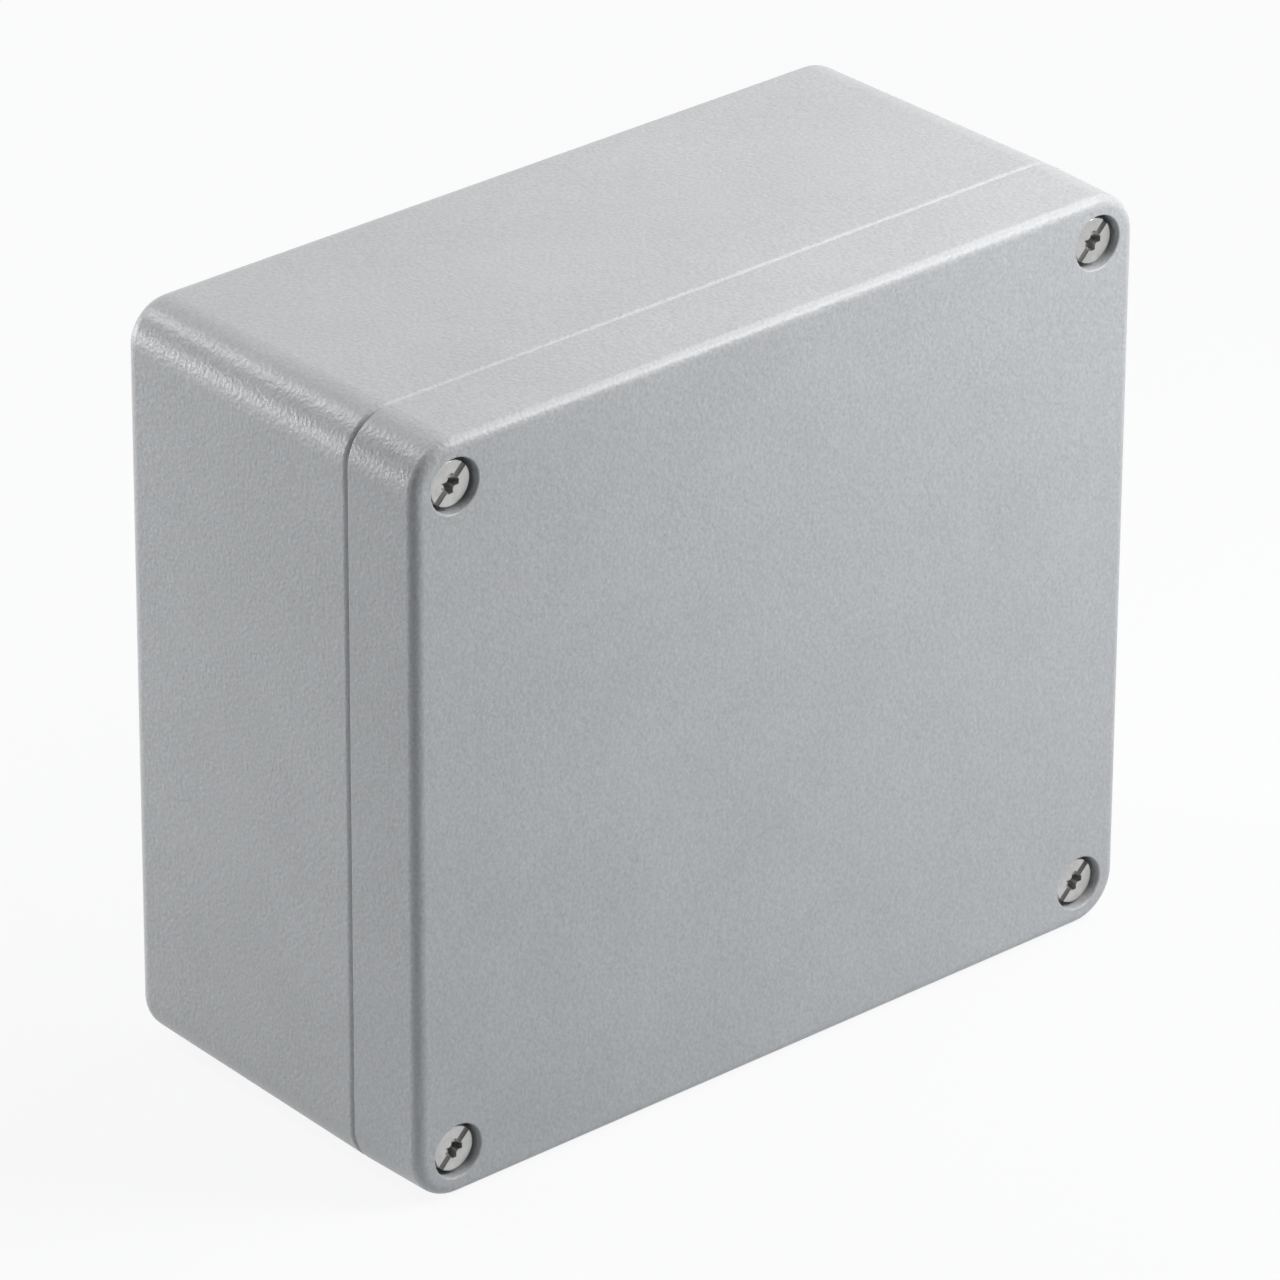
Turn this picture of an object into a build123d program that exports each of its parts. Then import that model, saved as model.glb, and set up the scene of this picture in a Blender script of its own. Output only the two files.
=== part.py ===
from build123d import *
import os

os.makedirs("parts", exist_ok=True)

# Sizes are in millimetres and draft angles in degrees.
# The box stands on a long side wall, as it is shown: X runs along the lid, the lid faces -Y,
# Z is up, and the origin lies under the middle of the box on the ground.

# The box as a whole
width = 232.0
height = 205.0
depth = 111.0
lid_depth = 24.0
corner_radius = 13.0

# Base casting
base_draft = 1.0
base_rim_wall = 5.6
base_floor = 4.5
base_inner_draft = 0.5
base_rim_round = 1.8
base_back_round = 5.0
base_floor_round = 3.0

# Lid casting
lid_draft = 1.0
lid_face = 4.0
lid_front_round = 2.9
lid_rim_round = 0.4
lid_pocket_draft = 1.5
lid_pocket_round = 2.0

# Corner blocks: they keep both kinds of screw outside the seal
block_width = 41.0
block_height = 22.0
block_round = 5.0

# Seal: a tongue on the base enters the gasket groove of the lid
tongue_thickness = 2.0
tongue_height = 3.0
groove_side_play = 1.0
groove_depth = 5.0
groove_rib = 1.8
gasket_play = 0.15
gasket_edge = 0.4

# Lid screws: M6, pan head, slot and cross recess
screw_inset_x = 13.0
screw_inset_z = 12.5
screw_recess = 1.8
head_radius = 6.0
head_height = 4.6
head_round = 0.3
thread_radius = 3.0
thread_play = 0.05
thread_reach = 9.5
thread_chamfer = 0.8
waist_radius = 2.45
slot_angle = 45.0
slot_width = 1.8
slot_depth = 1.7
cross_span = 5.2
cross_width = 1.6
cross_depth = 3.2
cross_draft = 7.0
socket_radius = 1.5
socket_depth = 3.7
socket_draft = 12.0

# Holes and recesses for the lid screws
counterbore_radius = 7.25
counterbore_round = 0.4
lid_hole_radius = 3.3
screw_hole_depth = 14.0
screw_hole_chamfer = 0.5
chamfer_angle = 45.0

# Retaining rings that keep the loosened screws in the lid
screw_travel = 10.0
ring_thickness = 1.5
ring_outer_radius = 4.6
ring_play = 0.05
ring_mouth = 3.8
ring_lift = 0.2
ring_recess_play = 0.4
ring_recess_spare = 0.3

# Wall mounting holes: a wide well for the screw head and a narrow hole through the back
mount_inset_x = 31.0
mount_inset_z = 12.5
mount_well_radius = 6.5
mount_hole_radius = 3.5
mount_seat = 6.0

# Bosses on the floor of the base for a mounting plate or rails
boss_spacing_x = 160.0
boss_spacing_z = 55.0
boss_rows = 3
boss_radius = 5.5
boss_height = 8.0
boss_draft = 2.0
boss_root_round = 1.0
boss_hole_radius = 1.65
boss_hole_depth = 9.0

# Earth terminals: one in the base and one in the lid
earth_base_x = -50.0
earth_base_z = 40.0
earth_lid_x = 50.0
earth_lid_z = 40.0
earth_boss_radius = 8.0
earth_boss_height = 8.0
earth_hole_depth = 10.0
earth_thread_radius = 2.5
earth_thread_depth = 8.0
earth_head_radius = 4.75
earth_head_height = 3.4
earth_head_round = 0.8
earth_cross_depth = 2.4
clamp_side = 12.0
clamp_sheet = 1.2
clamp_lip = 2.4
clamp_hole_radius = 2.7
washer_inner_radius = 2.6
washer_outer_radius = 4.6
washer_thickness = 1.3
washer_split = 0.9
washer_split_angle = 60.0

# Forms that are fused run this far into each other
overlap = 1.0

# Places that follow from the sizes above
middle = height / 2
front = -depth / 2
back = depth / 2
seam = front + lid_depth
base_depth = depth - lid_depth
floor = back - base_floor
head_top = front + screw_recess
head_seat = head_top + head_height
shoulder = seam - ring_lift
ring_front = shoulder - ring_thickness
recess_front = ring_front - screw_travel - ring_recess_spare
corners = {
    "top_left": (-1, 1),
    "top_right": (1, 1),
    "bottom_left": (-1, -1),
    "bottom_right": (1, -1),
}


def facing_front(y, x=0.0, z=middle):
    return Plane(origin=(x, y, z), x_dir=(1, 0, 0), z_dir=(0, -1, 0))


def facing_back(y, x=0.0, z=middle):
    return Plane(origin=(x, y, z), x_dir=(-1, 0, 0), z_dir=(0, 1, 0))


def rod(x, z, y_front, y_back, radius):
    """A round rod along Y."""
    return extrude(facing_back(y_front, x, z) * Circle(radius), amount=y_back - y_front)


def corner_places(inset_x, inset_z):
    """The same point near each of the four corners."""
    return [
        (side * (width / 2 - inset_x), middle + level * (height / 2 - inset_z))
        for side, level in corners.values()
    ]


def boss_places():
    """Bosses in two columns, with the rows evenly spaced about the middle."""
    rows = [(row - (boss_rows - 1) / 2) * boss_spacing_z for row in range(boss_rows)]
    return [(side * boss_spacing_x / 2, middle + row) for side in (-1, 1) for row in rows]


def rim_outline():
    return RectangleRounded(width, height, corner_radius)


def room_outline(growth=0.0):
    """Opening of the base inside the wall and the corner blocks, or a curve parallel to it."""
    room = Rectangle(width - 2 * base_rim_wall, height - 2 * base_rim_wall)
    for side, level in corners.values():
        x = side * (width - block_width) / 2
        z = level * (height - block_height) / 2
        room -= Pos(x, z) * Rectangle(block_width, block_height)
    room = fillet(room.vertices(), block_round)
    if growth:
        room = offset(room, growth)
    return room


def boss(foot, radius, height):
    """Drafted boss that stands on the plane foot and is rooted in the wall behind it."""
    return extrude(foot.offset(-overlap) * Circle(radius), amount=height + overlap, taper=boss_draft)


def boss_roots(body, wall):
    """The full circles where bosses meet a wall at that Y."""
    circles = body.edges().filter_by(GeomType.CIRCLE).filter_by(lambda edge: edge.is_closed)
    return circles.filter_by_position(Axis.Y, wall - 0.01, wall + 0.01)


def base_casting():
    body = extrude(facing_back(seam) * rim_outline(), amount=base_depth, taper=base_draft)
    body = fillet(body.faces().sort_by(Axis.Y)[-1].edges(), base_back_round)
    body = fillet(body.faces().sort_by(Axis.Y)[0].edges(), base_rim_round)
    room = extrude(facing_back(seam) * room_outline(), amount=floor - seam, taper=base_inner_draft)
    room = fillet(room.faces().sort_by(Axis.Y)[-1].edges(), base_floor_round)
    body -= room
    tongue = room_outline(tongue_thickness) - room_outline()
    body += extrude(facing_front(seam) * tongue, amount=tongue_height)
    for x, z in boss_places():
        body += boss(facing_front(floor, x, z), boss_radius, boss_height)
    body += boss(facing_front(floor, earth_base_x, earth_base_z), earth_boss_radius, earth_boss_height)
    body = fillet(boss_roots(body, floor), boss_root_round)
    for x, z in boss_places():
        top = floor - boss_height
        body -= rod(x, z, top, top + boss_hole_depth, boss_hole_radius)
    top = floor - earth_boss_height
    body -= rod(earth_base_x, earth_base_z, top, top + earth_hole_depth, earth_thread_radius + thread_play)
    for x, z in corner_places(screw_inset_x, screw_inset_z):
        body -= rod(x, z, seam, seam + screw_hole_depth, thread_radius + thread_play)
        mouth = facing_back(seam, x, z) * Circle(thread_radius + thread_play + screw_hole_chamfer)
        body -= extrude(mouth, amount=screw_hole_chamfer, taper=chamfer_angle)
    for x, z in corner_places(mount_inset_x, mount_inset_z):
        body -= rod(x, z, seam, back - mount_seat, mount_well_radius)
        body -= rod(x, z, seam, back, mount_hole_radius)
    return body


def lid_casting():
    body = extrude(facing_front(seam) * rim_outline(), amount=lid_depth, taper=lid_draft)
    body = fillet(body.faces().sort_by(Axis.Y)[0].edges(), lid_front_round)
    body = fillet(body.faces().sort_by(Axis.Y)[-1].edges(), lid_rim_round)
    pocket_outline = room_outline(-groove_side_play - groove_rib)
    pocket_depth = lid_depth - lid_face
    pocket = extrude(facing_front(seam) * pocket_outline, amount=pocket_depth, taper=lid_pocket_draft)
    pocket = fillet(pocket.faces().sort_by(Axis.Y)[0].edges(), lid_pocket_round)
    body -= pocket
    groove = room_outline(tongue_thickness + groove_side_play) - room_outline(-groove_side_play)
    body -= extrude(facing_front(seam) * groove, amount=groove_depth)
    ceiling = front + lid_face
    top = ceiling + earth_boss_height
    body += boss(facing_back(ceiling, earth_lid_x, earth_lid_z), earth_boss_radius, earth_boss_height)
    body = fillet(boss_roots(body, ceiling), boss_root_round)
    body -= rod(earth_lid_x, earth_lid_z, top - earth_hole_depth, top, earth_thread_radius + thread_play)
    for x, z in corner_places(screw_inset_x, screw_inset_z):
        body -= rod(x, z, front, head_seat, counterbore_radius)
        body -= rod(x, z, head_seat, recess_front, lid_hole_radius)
        body -= rod(x, z, recess_front, seam, ring_outer_radius + ring_recess_play)
    mouths = body.faces().sort_by(Axis.Y)[0].inner_wires()
    return fillet([edge for mouth in mouths for edge in mouth.edges()], counterbore_round)


def lid_gasket():
    """Endless seal in the groove of the lid, squeezed flat to where the tongue ends."""
    outer = room_outline(tongue_thickness + groove_side_play - gasket_play)
    inner = room_outline(-groove_side_play + gasket_play)
    seal = extrude(facing_front(seam - tongue_height) * (outer - inner), amount=groove_depth - tongue_height)
    exposed = seal.faces().sort_by(Axis.Y)[-1]
    return fillet(exposed.edges(), gasket_edge)


def cross_recess(depth):
    """Cross recess that gets narrower with depth."""
    arms = Rectangle(cross_span, cross_width) + Rectangle(cross_width, cross_span)
    return extrude(arms, amount=depth, taper=cross_draft)


def drive_recess(x, z, y):
    """Diagonal slot across the head, with an upright cross recess in its middle."""
    face = facing_front(y, x, z)
    slot = Rot(0, 0, slot_angle) * Box(3 * head_radius, slot_width, 2 * slot_depth)
    into_head = Rot(180, 0, 0)
    socket = extrude(Circle(socket_radius), amount=socket_depth, taper=socket_draft)
    return [face * slot, face * into_head * cross_recess(cross_depth), face * into_head * socket]


def lid_screw(x, z):
    """Captive screw: pan head, thin waist behind it and thread at the end."""
    head = rod(x, z, head_top, head_seat, head_radius)
    head = fillet(head.faces().sort_by(Axis.Y)[0].edges(), head_round)
    tip = seam + thread_reach
    thread = rod(x, z, shoulder, tip, thread_radius)
    thread = chamfer(thread.faces().sort_by(Axis.Y)[-1].edges(), thread_chamfer)
    screw = head + rod(x, z, head_seat - overlap, shoulder + overlap, waist_radius) + thread
    for cut in drive_recess(x, z, head_top):
        screw -= cut
    return screw


def retaining_ring(x, z):
    """Clip-on ring that rests on the start of the thread, open towards the middle of the lid."""
    hole = waist_radius + ring_play
    ring = rod(x, z, ring_front, shoulder, ring_outer_radius) - rod(x, z, ring_front, shoulder, hole)
    inward = -1 if x > 0 else 1
    mouth = Box(2 * ring_outer_radius, 3 * ring_thickness, ring_mouth)
    return ring - Pos(x + inward * ring_outer_radius, shoulder, z) * mouth


def earth_clamp(seat):
    """Square sheet with two folded lips that keep the wire under it."""
    sheet = extrude(seat * Rectangle(clamp_side, clamp_side), amount=clamp_sheet)
    lip_place = (clamp_side - clamp_sheet) / 2
    for side in (-1, 1):
        lip = Pos(0, side * lip_place) * Rectangle(clamp_side, clamp_sheet)
        sheet += extrude(seat * lip, amount=clamp_lip)
    return sheet - extrude(seat * Circle(clamp_hole_radius), amount=clamp_sheet)


def earth_washer(seat):
    """Split spring washer, pressed flat."""
    ring = Circle(washer_outer_radius) - Circle(washer_inner_radius)
    split = Pos(washer_outer_radius, 0) * Rectangle(2 * washer_outer_radius, washer_split)
    ring -= Rot(0, 0, washer_split_angle) * split
    return extrude(seat.offset(clamp_sheet) * ring, amount=washer_thickness)


def earth_screw(seat):
    """Pan head screw with a cross recess that presses washer and clamp on the boss."""
    under_head = clamp_sheet + washer_thickness
    head = extrude(seat.offset(under_head) * Circle(earth_head_radius), amount=earth_head_height)
    top_plane = seat.offset(under_head + earth_head_height)
    top_edge = head.edges().filter_by(GeomType.CIRCLE).sort_by_distance(top_plane.origin)[0]
    head = fillet(top_edge, earth_head_round)
    shank = extrude(seat.offset(-earth_thread_depth) * Circle(earth_thread_radius),
                    amount=earth_thread_depth + under_head + overlap)
    return head + shank - top_plane * Rot(180, 0, 0) * cross_recess(earth_cross_depth)


def earth_set(place, seat):
    return {
        f"{place}_earth_clamp": earth_clamp(seat),
        f"{place}_earth_washer": earth_washer(seat),
        f"{place}_earth_screw": earth_screw(seat),
    }


parts = {
    "base_casting": base_casting(),
    "lid_casting": lid_casting(),
    "lid_gasket": lid_gasket(),
}
for name, (x, z) in zip(corners, corner_places(screw_inset_x, screw_inset_z)):
    parts[f"lid_screw_{name}"] = lid_screw(x, z)
    parts[f"retaining_ring_{name}"] = retaining_ring(x, z)
base_seat = facing_front(floor - earth_boss_height, earth_base_x, earth_base_z)
lid_seat = facing_back(front + lid_face + earth_boss_height, earth_lid_x, earth_lid_z)
parts.update(earth_set("base", base_seat))
parts.update(earth_set("lid", lid_seat))

for name, part in parts.items():
    export_step(part, f"parts/{name}.step")
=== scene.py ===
import math

import bmesh
import bpy
from mathutils import Matrix, Vector


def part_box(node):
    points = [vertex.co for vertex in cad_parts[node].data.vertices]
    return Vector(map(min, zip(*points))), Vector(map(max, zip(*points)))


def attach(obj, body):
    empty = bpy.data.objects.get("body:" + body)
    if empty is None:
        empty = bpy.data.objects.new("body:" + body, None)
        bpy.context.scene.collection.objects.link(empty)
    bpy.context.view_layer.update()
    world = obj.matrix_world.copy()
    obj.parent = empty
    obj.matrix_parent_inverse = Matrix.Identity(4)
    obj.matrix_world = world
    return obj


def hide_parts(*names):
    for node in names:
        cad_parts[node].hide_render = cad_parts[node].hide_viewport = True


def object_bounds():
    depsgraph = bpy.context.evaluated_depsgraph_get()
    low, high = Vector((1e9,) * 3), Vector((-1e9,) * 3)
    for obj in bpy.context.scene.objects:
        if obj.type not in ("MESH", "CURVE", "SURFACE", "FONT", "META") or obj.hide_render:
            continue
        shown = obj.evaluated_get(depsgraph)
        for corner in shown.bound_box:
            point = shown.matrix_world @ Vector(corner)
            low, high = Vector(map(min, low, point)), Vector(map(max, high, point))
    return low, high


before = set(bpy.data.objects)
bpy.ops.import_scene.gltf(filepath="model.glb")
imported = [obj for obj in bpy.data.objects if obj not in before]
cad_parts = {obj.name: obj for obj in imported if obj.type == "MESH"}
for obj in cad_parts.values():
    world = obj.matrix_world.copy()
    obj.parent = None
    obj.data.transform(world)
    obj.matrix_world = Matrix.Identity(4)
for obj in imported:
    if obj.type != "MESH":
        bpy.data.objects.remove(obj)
cad_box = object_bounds()

# All lengths are in metres and all angles in degrees, in the frame of the CAD model:
# the lid faces -Y, Z is up and the origin lies on the ground under the middle of the box.
MM = 0.001

# Places taken from the CAD nodes
box_low, box_high = cad_box
width = box_high.x - box_low.x
height = box_high.z - box_low.z
middle = (box_high.z + box_low.z) / 2
lid_low, lid_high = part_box("lid_casting")
front = lid_low.y
seam = lid_high.y
back = box_high.y
centre = Vector((0, (front + back) / 2, middle))

# Room inside the seal, where the castings are not coated
room_wall = 7.0 * MM
block_width = 41.0 * MM
block_height = 22.0 * MM
face_thickness = 3.0 * MM
coat_edge = 0.5 * MM
coat_wander = 1.0 * MM

# Threads of the lid screws
thread_pitch = 1.0 * MM
thread_crest = 3.0 * MM
thread_root = 2.45 * MM
thread_reach = 9.5 * MM
thread_start_gap = 0.2 * MM
thread_steps = 40
thread_stations = (0.0, 0.2, 0.5, 0.7)
spare_turns = 3
sharp_angle = 28
cut_margin = 0.001 * MM
weld_distance = 0.002 * MM

# Camera: the photograph's viewpoint
camera_azimuth = -40.993
camera_elevation = 27.400
camera_pitch = 27.554
camera_yaw = -0.047
camera_roll = 0.289
camera_distance = 2.3397
camera_target = Vector((0, -0.5 * MM, 102.5 * MM))
camera_lens = 265.41
camera_sensor = 36.0

# Light and floor
ambient_strength = 0.12
ambient_colour = (0.93, 0.985, 1.03)
floor_white = 0.9
floor_colour = (0.62, 0.64, 0.655)
floor_roughness = 0.9


def new_material(name):
    """Returns a material with its node tree and its surface shader."""
    material = bpy.data.materials.new(name)
    material.use_nodes = True
    tree = material.node_tree
    return material, tree, tree.nodes["Principled BSDF"]


def link(tree, source, target):
    tree.links.new(source, target)


def math_node(tree, operation, first, second=None, clamp=False):
    """A Math node; each input is a socket or a number."""
    node = tree.nodes.new("ShaderNodeMath")
    node.operation = operation
    node.use_clamp = clamp
    for socket, value in zip(node.inputs, (first, second)):
        if value is None:
            continue
        if isinstance(value, (int, float)):
            socket.default_value = value
        else:
            link(tree, value, socket)
    return node.outputs[0]


def object_place(tree):
    return tree.nodes.new("ShaderNodeTexCoord").outputs["Object"]


def noise(tree, feature_size, detail=2.0, roughness=0.5, distortion=0.0):
    """Noise in the object's own space, with features of about that size."""
    node = tree.nodes.new("ShaderNodeTexNoise")
    node.inputs["Scale"].default_value = 1.0 / feature_size
    node.inputs["Detail"].default_value = detail
    node.inputs["Roughness"].default_value = roughness
    node.inputs["Distortion"].default_value = distortion
    link(tree, object_place(tree), node.inputs["Vector"])
    return node.outputs["Fac"]


def ramp(tree, factor, low, high, start, end):
    """Blends from one colour to another as the factor goes from start to end."""
    node = tree.nodes.new("ShaderNodeValToRGB")
    node.color_ramp.elements[0].position = start
    node.color_ramp.elements[0].color = (*low, 1.0)
    node.color_ramp.elements[1].position = end
    node.color_ramp.elements[1].color = (*high, 1.0)
    link(tree, factor, node.inputs["Fac"])
    return node.outputs["Color"]


def span(tree, factor, low, high, start=0.0, end=1.0):
    """Carries the factor's range from start to end over to low to high."""
    node = tree.nodes.new("ShaderNodeMapRange")
    node.inputs["From Min"].default_value = start
    node.inputs["From Max"].default_value = end
    node.inputs["To Min"].default_value = low
    node.inputs["To Max"].default_value = high
    link(tree, factor, node.inputs["Value"])
    return node.outputs["Result"]


def mix_colour(tree, factor, first, second):
    node = tree.nodes.new("ShaderNodeMix")
    node.data_type = "RGBA"
    link(tree, factor, node.inputs["Factor"])
    link(tree, first, node.inputs["A"])
    link(tree, second, node.inputs["B"])
    return node.outputs["Result"]


def mix_value(tree, factor, first, second):
    node = tree.nodes.new("ShaderNodeMix")
    link(tree, factor, node.inputs["Factor"])
    link(tree, first, node.inputs["A"])
    link(tree, second, node.inputs["B"])
    return node.outputs["Result"]


def bump(tree, relief, depth, under=None):
    """Bump whose relief is that deep, over an earlier bump if one is given."""
    node = tree.nodes.new("ShaderNodeBump")
    node.inputs["Distance"].default_value = depth
    node.inputs["Strength"].default_value = 1.0
    link(tree, relief, node.inputs["Height"])
    if under:
        link(tree, under, node.inputs["Normal"])
    return node.outputs["Normal"]


def bare_inside(tree):
    """1 in the room inside the seal, where the casting is bare, and 0 where it is coated."""
    split = tree.nodes.new("ShaderNodeSeparateXYZ")
    link(tree, object_place(tree), split.inputs["Vector"])
    x, y, z = split.outputs
    wander = span(tree, noise(tree, 6 * MM, detail=3.0), -coat_wander, coat_wander)
    side = math_node(tree, "ABSOLUTE", x)
    level = math_node(tree, "ABSOLUTE", math_node(tree, "SUBTRACT", z, middle))
    from_side = math_node(tree, "SUBTRACT", width / 2 - room_wall, side)
    from_level = math_node(tree, "SUBTRACT", height / 2 - room_wall, level)
    block_side = math_node(tree, "SUBTRACT", width / 2 - block_width, side)
    block_level = math_node(tree, "SUBTRACT", height / 2 - block_height, level)
    past_block = math_node(tree, "MAXIMUM", block_side, block_level)
    from_front = math_node(tree, "SUBTRACT", y, front + face_thickness)
    from_back = math_node(tree, "SUBTRACT", back - face_thickness, y)
    inside = math_node(tree, "MINIMUM", from_side, from_level)
    inside = math_node(tree, "MINIMUM", inside, past_block)
    inside = math_node(tree, "MINIMUM", inside, from_front)
    inside = math_node(tree, "MINIMUM", inside, from_back)
    inside = math_node(tree, "ADD", inside, wander)
    return span(tree, inside, 0.0, 1.0, -coat_edge, coat_edge)


def casting_material():
    """Silver-grey textured powder coat outside, bare die cast aluminium inside the seal."""
    coat_dark = (0.404, 0.412, 0.421)
    coat_light = (0.514, 0.522, 0.531)
    metal_dark = (0.50, 0.505, 0.51)
    metal_light = (0.66, 0.66, 0.655)
    speckle_share = 0.8
    material, tree, surface = new_material("powder_coated_casting")
    bare = bare_inside(tree)

    speckle = noise(tree, 0.9 * MM, detail=2.5, roughness=0.55)
    cloud = noise(tree, 28 * MM, detail=2.0)
    tint = math_node(tree, "ADD", math_node(tree, "MULTIPLY", speckle, speckle_share),
                     math_node(tree, "MULTIPLY", cloud, 1.0 - speckle_share))
    coat_colour = ramp(tree, tint, coat_dark, coat_light, 0.3, 0.7)
    flow = noise(tree, 11 * MM, detail=5.0, roughness=0.6, distortion=1.2)
    bare_colour = ramp(tree, flow, metal_dark, metal_light, 0.3, 0.75)
    link(tree, mix_colour(tree, bare, coat_colour, bare_colour), surface.inputs["Base Color"])

    coat_rough = span(tree, speckle, 0.33, 0.42, 0.3, 0.7)
    bare_rough = span(tree, flow, 0.38, 0.58, 0.3, 0.7)
    link(tree, mix_value(tree, bare, coat_rough, bare_rough), surface.inputs["Roughness"])
    link(tree, math_node(tree, "MULTIPLY", bare, 0.9), surface.inputs["Metallic"])
    surface.inputs["Specular IOR Level"].default_value = 0.40

    peel = noise(tree, 1.1 * MM, detail=1.5, roughness=0.4)
    grain = noise(tree, 0.5 * MM, detail=2.0)
    relief = bump(tree, peel, 0.15 * MM)
    link(tree, bump(tree, grain, 0.05 * MM, under=relief), surface.inputs["Normal"])
    return material


def steel_material():
    """Stainless steel, cold formed and slightly dull."""
    dark = (0.47, 0.468, 0.46)
    light = (0.57, 0.568, 0.56)
    material, tree, surface = new_material("stainless_steel")
    surface.inputs["Metallic"].default_value = 1.0
    smudge = noise(tree, 2.2 * MM, detail=4.0, roughness=0.6)
    fine = noise(tree, 0.25 * MM, detail=3.0)
    link(tree, ramp(tree, smudge, dark, light, 0.3, 0.7), surface.inputs["Base Color"])
    link(tree, span(tree, fine, 0.27, 0.40, 0.3, 0.7), surface.inputs["Roughness"])
    dents = bump(tree, smudge, 0.02 * MM)
    link(tree, bump(tree, fine, 0.004 * MM, under=dents), surface.inputs["Normal"])
    return material


def rubber_material():
    """Black gasket rubber with a faint dusty bloom."""
    dark = (0.018, 0.018, 0.019)
    light = (0.042, 0.042, 0.044)
    material, tree, surface = new_material("gasket_rubber")
    bloom = noise(tree, 3.5 * MM, detail=4.0, roughness=0.65)
    skin = noise(tree, 0.35 * MM, detail=2.0)
    link(tree, ramp(tree, bloom, dark, light, 0.35, 0.75), surface.inputs["Base Color"])
    link(tree, span(tree, bloom, 0.55, 0.75, 0.3, 0.7), surface.inputs["Roughness"])
    link(tree, bump(tree, skin, 0.01 * MM), surface.inputs["Normal"])
    return material


def nylon_material():
    """Natural nylon of the retaining rings."""
    dark = (0.71, 0.70, 0.655)
    light = (0.79, 0.78, 0.74)
    scatter_radius = (1.2 * MM, 1.1 * MM, 0.9 * MM)
    material, tree, surface = new_material("ring_plastic")
    surface.inputs["Subsurface Weight"].default_value = 0.15
    surface.inputs["Subsurface Radius"].default_value = scatter_radius
    surface.inputs["Subsurface Scale"].default_value = 1.0
    haze = noise(tree, 1.6 * MM, detail=3.0)
    link(tree, ramp(tree, haze, dark, light, 0.3, 0.7), surface.inputs["Base Color"])
    link(tree, span(tree, haze, 0.42, 0.55, 0.3, 0.7), surface.inputs["Roughness"])
    link(tree, bump(tree, noise(tree, 0.3 * MM), 0.006 * MM), surface.inputs["Normal"])
    return material


def brass_material():
    """Tin-plated brass of the earth clamps."""
    dark = (0.60, 0.575, 0.51)
    light = (0.72, 0.70, 0.64)
    material, tree, surface = new_material("plated_brass")
    surface.inputs["Metallic"].default_value = 1.0
    stain = noise(tree, 3.0 * MM, detail=4.0, roughness=0.6)
    fine = noise(tree, 0.3 * MM, detail=2.0)
    link(tree, ramp(tree, stain, dark, light, 0.3, 0.7), surface.inputs["Base Color"])
    link(tree, span(tree, fine, 0.30, 0.44, 0.3, 0.7), surface.inputs["Roughness"])
    link(tree, bump(tree, fine, 0.005 * MM), surface.inputs["Normal"])
    return material


def dress(piece, material):
    """Gives the whole piece that one material."""
    if not piece.material_slots:
        piece.data.materials.append(material)
    for place in piece.material_slots:
        place.link = "OBJECT"
        place.material = material


def thread_radius(step, y, start, tip):
    """Radius of the thread at one of the four stations of a turn, drawn in at both ends."""
    station = (thread_root, thread_root, thread_crest, thread_crest)[step % 4]
    from_ends = min(y - start, tip - y)
    return min(station, thread_root + max(from_ends, 0.0))


def add_thread(form, axis_x, axis_z, start, tip):
    """Right-hand thread on the shank: columns of points round the axis, each a step further on.

    The last column lies on the first, one turn further on, and is welded to it afterwards.
    """
    turns = int((tip - start) / thread_pitch) + spare_turns
    columns = []
    for column in range(thread_steps + 1):
        share = column / thread_steps
        angle = 2 * math.pi * share
        points = []
        for step in range(4 * turns):
            place = step // 4 - 1 + thread_stations[step % 4] + share
            y = min(max(start + place * thread_pitch, start), tip)
            radius = thread_radius(step, y, start, tip)
            points.append(form.verts.new((axis_x + radius * math.cos(angle), y,
                                          axis_z - radius * math.sin(angle))))
        columns.append(points)
    for left, right in zip(columns, columns[1:]):
        for step in range(len(left) - 1):
            form.faces.new((left[step], left[step + 1], right[step + 1], right[step]))
    end_of_shank = [column[-1] for column in columns[:-1]]
    form.faces.new(end_of_shank)


def lid_screw(corner, steel):
    """The CAD screw with its plain shank changed for one with a cut thread."""
    node_name = f"lid_screw_{corner}"
    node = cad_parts[node_name]
    low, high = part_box(node_name)
    axis_x = (low.x + high.x) / 2
    axis_z = (low.z + high.z) / 2
    start = seam - thread_start_gap
    tip = seam + thread_reach
    form = bmesh.new()
    form.from_mesh(node.data)
    shank = [face for face in form.faces if face.calc_center_median().y > start - cut_margin]
    bmesh.ops.delete(form, geom=shank, context="FACES")
    add_thread(form, axis_x, axis_z, start, tip)
    bmesh.ops.remove_doubles(form, verts=form.verts, dist=weld_distance)
    bmesh.ops.recalc_face_normals(form, faces=form.faces)
    mesh = bpy.data.meshes.new(f"threaded_screw_{corner}")
    form.to_mesh(mesh)
    form.free()
    # The corner normals that came with the CAD mesh don't fit the new faces
    carried_over = mesh.attributes.get("custom_normal")
    if carried_over:
        mesh.attributes.remove(carried_over)
    mesh.shade_smooth()
    mesh.set_sharp_from_angle(angle=math.radians(sharp_angle))
    screw = bpy.data.objects.new(f"threaded_screw_{corner}", mesh)
    bpy.context.scene.collection.objects.link(screw)
    mesh.materials.clear()
    dress(screw, steel)
    evened = screw.modifiers.new("even_normals", "WEIGHTED_NORMAL")
    evened.keep_sharp = True
    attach(screw, f"screw_{corner}")
    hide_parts(node_name)


def shown_white(tree):
    """1 for rays from the camera, in reflections and through glass, and 0 for the rest."""
    path = tree.nodes.new("ShaderNodeLightPath")
    shown = math_node(tree, "ADD", path.outputs["Is Camera Ray"], path.outputs["Is Glossy Ray"])
    return math_node(tree, "ADD", shown, path.outputs["Is Transmission Ray"], clamp=True)


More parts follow.
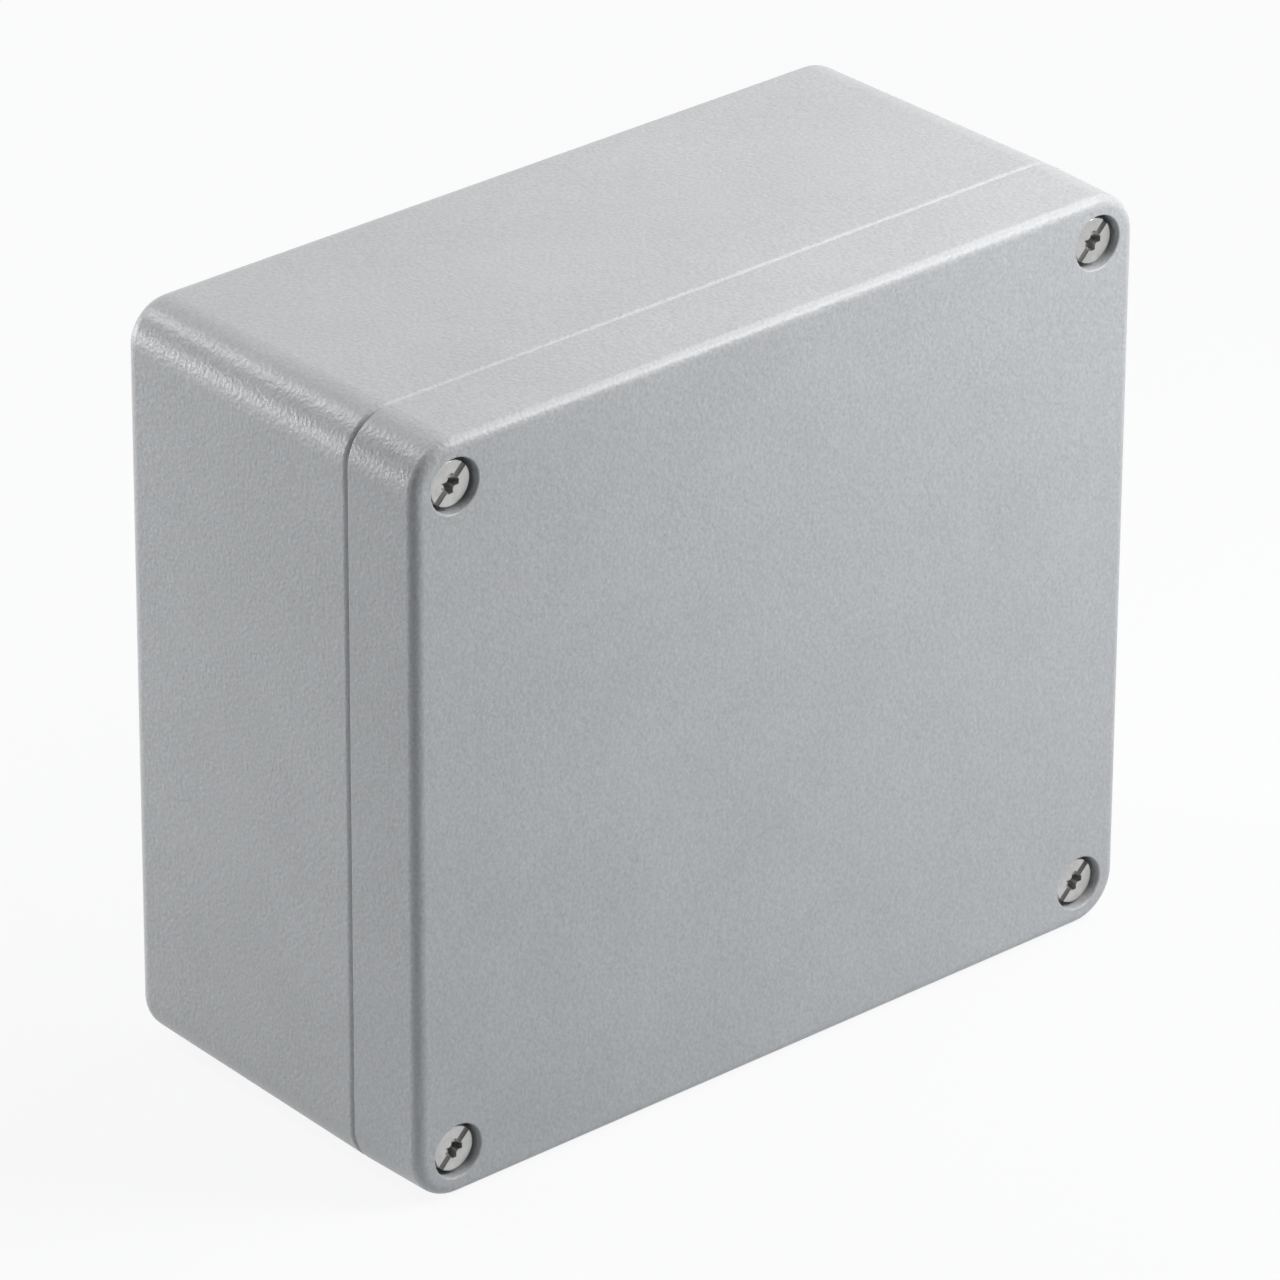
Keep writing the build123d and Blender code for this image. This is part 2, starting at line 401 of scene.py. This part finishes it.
def add_floor():
    """White floor. The camera sees it nearly white all over, with a trace of the box's shadow."""
    mesh = bpy.data.meshes.new("floor")
    reach = 8.0
    corners = [(-reach, -reach, 0), (reach, -reach, 0), (reach, reach, 0), (-reach, reach, 0)]
    mesh.from_pydata(corners, [], [(0, 1, 2, 3)])
    floor = bpy.data.objects.new("floor", mesh)
    bpy.context.scene.collection.objects.link(floor)
    material, tree, surface = new_material("floor")
    surface.inputs["Base Color"].default_value = (*floor_colour, 1.0)
    surface.inputs["Roughness"].default_value = floor_roughness
    white = tree.nodes.new("ShaderNodeEmission")
    blend = tree.nodes.new("ShaderNodeMixShader")
    link(tree, math_node(tree, "MULTIPLY", shown_white(tree), floor_white), blend.inputs["Fac"])
    link(tree, surface.outputs["BSDF"], blend.inputs[1])
    link(tree, white.outputs["Emission"], blend.inputs[2])
    link(tree, blend.outputs["Shader"], tree.nodes["Material Output"].inputs["Surface"])
    dress(floor, material)


def add_world():
    """White to the camera and in reflections, a plain soft fill light for the rest."""
    world = bpy.data.worlds.new("studio")
    bpy.context.scene.world = world
    world.use_nodes = True
    tree = world.node_tree
    fill = tree.nodes["Background"]
    fill.inputs["Color"].default_value = (*ambient_colour, 1.0)
    fill.inputs["Strength"].default_value = ambient_strength
    white = tree.nodes.new("ShaderNodeBackground")
    white.inputs["Color"].default_value = (1.0, 1.0, 1.0, 1.0)
    blend = tree.nodes.new("ShaderNodeMixShader")
    link(tree, shown_white(tree), blend.inputs["Fac"])
    link(tree, fill.outputs["Background"], blend.inputs[1])
    link(tree, white.outputs["Background"], blend.inputs[2])
    link(tree, blend.outputs["Shader"], tree.nodes["World Output"].inputs["Surface"])


def away(azimuth, elevation):
    """Direction from the box to a place round it. Azimuth 0 is in front of the lid, 90 is at +X."""
    turn = math.radians(azimuth)
    rise = math.radians(elevation)
    return Vector((math.sin(turn) * math.cos(rise), -math.cos(turn) * math.cos(rise), math.sin(rise)))


def add_softbox(name, azimuth, elevation, distance, wide, tall, power):
    """Rectangular lamp that faces the middle of the box."""
    lamp = bpy.data.lights.new(name, "AREA")
    lamp.shape = "RECTANGLE"
    lamp.size = wide
    lamp.size_y = tall
    lamp.energy = power
    softbox = bpy.data.objects.new(name, lamp)
    bpy.context.scene.collection.objects.link(softbox)
    direction = away(azimuth, elevation)
    softbox.location = centre + direction * distance
    softbox.rotation_euler = direction.to_track_quat("Z", "Y").to_euler()


def add_camera():
    """The photograph's viewpoint, with its small roll."""
    lens = bpy.data.cameras.new("camera")
    lens.sensor_width = camera_sensor
    lens.lens = camera_lens
    lens.clip_start = 0.05
    lens.clip_end = 50.0
    camera = bpy.data.objects.new("camera", lens)
    bpy.context.scene.collection.objects.link(camera)
    camera.location = camera_target + away(camera_azimuth, camera_elevation) * camera_distance
    backward = away(camera_azimuth + camera_yaw, camera_pitch)
    level_right = Vector((0, 0, 1)).cross(backward).normalized()
    level_up = backward.cross(level_right)
    roll = math.radians(camera_roll)
    right = level_right * math.cos(roll) + level_up * math.sin(roll)
    up = level_up * math.cos(roll) - level_right * math.sin(roll)
    camera.rotation_mode = "QUATERNION"
    camera.rotation_quaternion = Matrix((right, up, backward)).transposed().to_quaternion()
    bpy.context.scene.camera = camera


coat = casting_material()
steel = steel_material()
rubber = rubber_material()
nylon = nylon_material()
brass = brass_material()

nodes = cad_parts
for name in ("base_casting", "lid_casting"):
    dress(nodes[name], coat)
dress(nodes["lid_gasket"], rubber)
for part in ("base", "lid"):
    dress(nodes[f"{part}_earth_clamp"], brass)
    dress(nodes[f"{part}_earth_washer"], steel)
    dress(nodes[f"{part}_earth_screw"], steel)
for corner in ("top_left", "top_right", "bottom_left", "bottom_right"):
    dress(nodes[f"retaining_ring_{corner}"], nylon)
    lid_screw(corner, steel)

add_floor()
add_world()
# Key in front, top over the right end, side for the left face, rim for the upper left round
add_softbox("key", azimuth=38, elevation=37, distance=0.65, wide=0.25, tall=0.25, power=2.72)
add_softbox("top", azimuth=71, elevation=55, distance=1.35, wide=1.2, tall=0.5, power=11.1)
add_softbox("side", azimuth=-148, elevation=3, distance=1.2, wide=0.9, tall=0.28, power=8.5)
add_softbox("rim", azimuth=-154, elevation=39, distance=1.2, wide=0.14, tall=0.14, power=4.2)
add_camera()
bpy.context.scene.view_settings.view_transform = "Standard"
